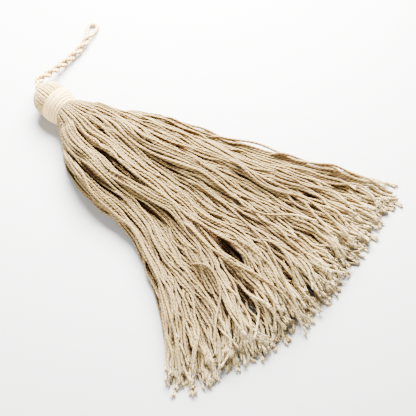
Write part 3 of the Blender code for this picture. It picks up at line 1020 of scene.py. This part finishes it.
def skirt_yarns(line, depth=0.0, turn=None):
    """A laid line as a plied yarn, with its cut end split into two plies and loose fibres. It faces out of
    the heap, and a yarn that comes out of the neck at a given turn faces outwards there. Its sides away
    from that facing get painted shade."""
    line = resample(line, YARN_STEP)
    line = line[: -int(FRAY_LENGTH / YARN_STEP)]
    along = distance_along(line)
    count = len(line)
    i, j = cells_of(line)
    # Painted shade for yarns that lie deep in the heap, and for the deeper shell layer near the neck. It is
    # weaker where the heap is open or steep, and it fades towards the cut ends.
    buried_shade = (settled_heap[i, j] - line[:, 2] - 0.3 * MM) / FULL_SHADE_DEPTH
    buried_shade = buried_shade + 0.4 * depth / MM * rising(-along, -34 * MM, -20 * MM)
    steep = np.hypot(heap_slope[0][i, j], heap_slope[1][i, j])
    buried_shade = np.clip(buried_shade, 0, 1) * (0.1 + 0.9 * enclosed[i, j]) * (1 - np.clip(steep - 1, 0, 1))
    buried_shade *= 1 - 0.8 * rising(along, along[-1] - 22 * MM, along[-1] - 4 * MM)
    slub = np.convolve(chance.normal(0, 1, count + 10), np.ones(11) / 11, "valid")[:count]
    radius = YARN_RADIUS * (1 + 0.12 * slub) * chance.uniform(0.92, 1.08)
    out = unit(np.stack([-heap_slope[0][i, j], -heap_slope[1][i, j], np.ones(count)], axis=1))
    if turn is None:
        radius = radius * np.clip(0.3 + along / (7 * MM), 0, 1)
    else:
        in_heap = rising(along, 6 * MM, 16 * MM)[:, None]
        out_of_ring = np.array((math.cos(turn), 0.0, max(math.sin(turn), 0.3)))
        out = unit(in_heap * out + (1 - in_heap) * out_of_ring)
    line[:, 2] = np.maximum(line[:, 2], YARN_REST * radius)
    tone = chance.random()
    tip = np.clip(1 - (along[-1] - along) / PALE_END, 0, 1)
    shade = np.stack([np.full(count, tone), buried_shade, tip], axis=1)
    pitch = PLY_PITCH * chance.uniform(0.85, 1.15)
    turns = along / pitch + chance.random()
    drop = chance.uniform(0.0, 0.5) * max(line[-1, 2] - 1.5 * MM, 0.0)
    line[:, 2] -= drop * np.clip(1 - (along[-1] - along) / (9 * MM), 0, 1) ** 2
    yarn = Yarn(line, radius, turns, out, 2, 0.18, 6, shade)
    return [yarn] + frayed_end(line, radius[-1], turns, (tone, 0.5 * buried_shade[-1]))


# The skirt's own colour, the painted shade of its ply grooves, and the colour of its husk specks and painted
# shade.
skirt_cotton = cotton_material(
    "skirt yarn cotton", (0.212, 0.145, 0.045), (0.076, 0.046, 0.014), (0.64, 0.42, 0.245), 2.0, 0.35, 0.7
)

# The yarns at the bundle's middle are packed too tightly to show one by one: they are one low mound,
# darkened by painted shade where it shows in the gaps between the yarns over it.
MOUND_END = 40.0
MOUND_STEP = 2.0
MOUND_TAPER = 12 * MM
MOUND_POINTS = 25
MOUND_WIDTH = 0.92
# The mound's shade attribute: a middle tone and painted shade that darkens it as the gaps would be.
MOUND_SHADE = (0.4, 0.45, 0.0, 1.0)
MOUND_UV = (1.25, 0.5)
IN_NECK = 4 * MM

arch_turn = np.radians(np.linspace(0, 180, MOUND_POINTS))
core_body = bmesh.new()
loops = []
for reach in np.arange(0.0, MOUND_END, MOUND_STEP) * MM:
    height = np.interp(max(reach, 4.8 * MM), fine_reach, core_height) * np.sin(arch_turn) ** FLANK_FULLNESS
    height = (height - 5 * YARN_RADIUS) * min(1.0, (MOUND_END * MM - reach) / MOUND_TAPER)
    angle = fan_angle(MOUND_WIDTH * np.cos(arch_turn), max(reach, 3 * MM))
    aside = np.where(reach < IN_NECK, 3.6 * MM * np.cos(arch_turn), reach * np.sin(angle))
    ahead = np.where(reach < IN_NECK, reach, reach * np.cos(angle))
    height = np.maximum(height, 0.4 * MM + 0.1 * MM * np.sin(arch_turn))
    ring = np.stack([NECK[0] + aside, NECK[1] - ahead, height], axis=1)
    loops.append([core_body.verts.new(point) for point in ring])
for low, high in zip(loops, loops[1:]):
    for a in range(len(low)):
        b = (a + 1) % len(low)
        core_body.faces.new((low[a], low[b], high[b], high[a]))
core_body.faces.new(loops[0])
core_body.faces.new(loops[-1])
bmesh.ops.recalc_face_normals(core_body, faces=core_body.faces)
core_mesh = bpy.data.meshes.new("skirt_core")
core_body.to_mesh(core_mesh)
core_body.free()
core_layer = core_mesh.uv_layers.new(name="yarn")
core_corners = np.zeros(len(core_mesh.loops), np.int32)
core_mesh.loops.foreach_get("vertex_index", core_corners)
core_uv = np.stack([core_corners % MOUND_POINTS, core_corners // MOUND_POINTS], axis=1) * MOUND_UV
core_layer.uv.foreach_set("vector", core_uv.astype(np.float32).ravel())
core_tint = core_mesh.attributes.new("shade", "FLOAT_COLOR", "POINT")
core_tint.data.foreach_set("color", np.tile(MOUND_SHADE, len(core_mesh.vertices)).astype(np.float32))
core_mesh.materials.append(skirt_cotton)
skirt_core = bpy.data.objects.new("skirt_core", core_mesh)
bpy.context.scene.collection.objects.link(skirt_core)
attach(skirt_core, "root")
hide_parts("tassel_yarns")

all_lines = [(line,) for line in floor_lines + inner_lines + stray_lines] + surface_lines
PIECES = 5
share = math.ceil(len(all_lines) / PIECES)
for number in range(PIECES):
    yarns = []
    for laid in all_lines[number * share : (number + 1) * share]:
        yarns.extend(skirt_yarns(*laid))
    skirt_piece = join_yarns(f"skirt_yarns_{number + 1}", yarns, skirt_cotton)
    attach(skirt_piece, "root")
    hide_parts("tassel_yarns")

# Surface and light. A plain white sweep under soft studio light, strongest from behind the tassel, so
# that soft shadows fall towards the camera, with a low card on the left to fill them.
floor_mesh = bpy.data.meshes.new("floor")
floor_body = bmesh.new()
bmesh.ops.create_grid(floor_body, x_segments=1, y_segments=1, size=3.0)
floor_body.to_mesh(floor_mesh)
floor_body.free()
floor = bpy.data.objects.new("floor", floor_mesh)
bpy.context.scene.collection.objects.link(floor)
floor_paint = bpy.data.materials.new("white paper")
floor_paint.use_nodes = True
floor_shader = floor_paint.node_tree.nodes["Principled BSDF"]
floor_shader.inputs["Base Color"].default_value = (0.34, 0.336, 0.327, 1)
floor_shader.inputs["Roughness"].default_value = 0.7
floor_mesh.materials.append(floor_paint)

world = bpy.data.worlds.new("studio")
world.use_nodes = True
world.node_tree.nodes["Background"].inputs["Color"].default_value = (1.0, 0.99, 0.98, 1)
world.node_tree.nodes["Background"].inputs["Strength"].default_value = 0.36
bpy.context.scene.world = world

Lamp = namedtuple("Lamp", "name azimuth elevation distance size watts")
LAMPS = (
    Lamp("key softbox", 134, 42, 0.24, 0.22, 20.0),
    Lamp("top softbox", 100, 70, 0.8, 0.6, 2.0),
    Lamp("low fill card", -84, 22, 0.8, 0.5, 18.0),
)
for lamp in LAMPS:
    data = bpy.data.lights.new(lamp.name, "AREA")
    data.shape = "DISK"
    data.size = lamp.size
    data.energy = lamp.watts
    light = bpy.data.objects.new(lamp.name, data)
    azimuth, elevation = math.radians(lamp.azimuth), math.radians(lamp.elevation)
    outward = Vector(
        (
            math.sin(azimuth) * math.cos(elevation),
            -math.cos(azimuth) * math.cos(elevation),
            math.sin(elevation),
        )
    )
    light.location = lamp.distance * outward
    light.rotation_euler = outward.to_track_quat("Z", "Y").to_euler()
    bpy.context.scene.collection.objects.link(light)
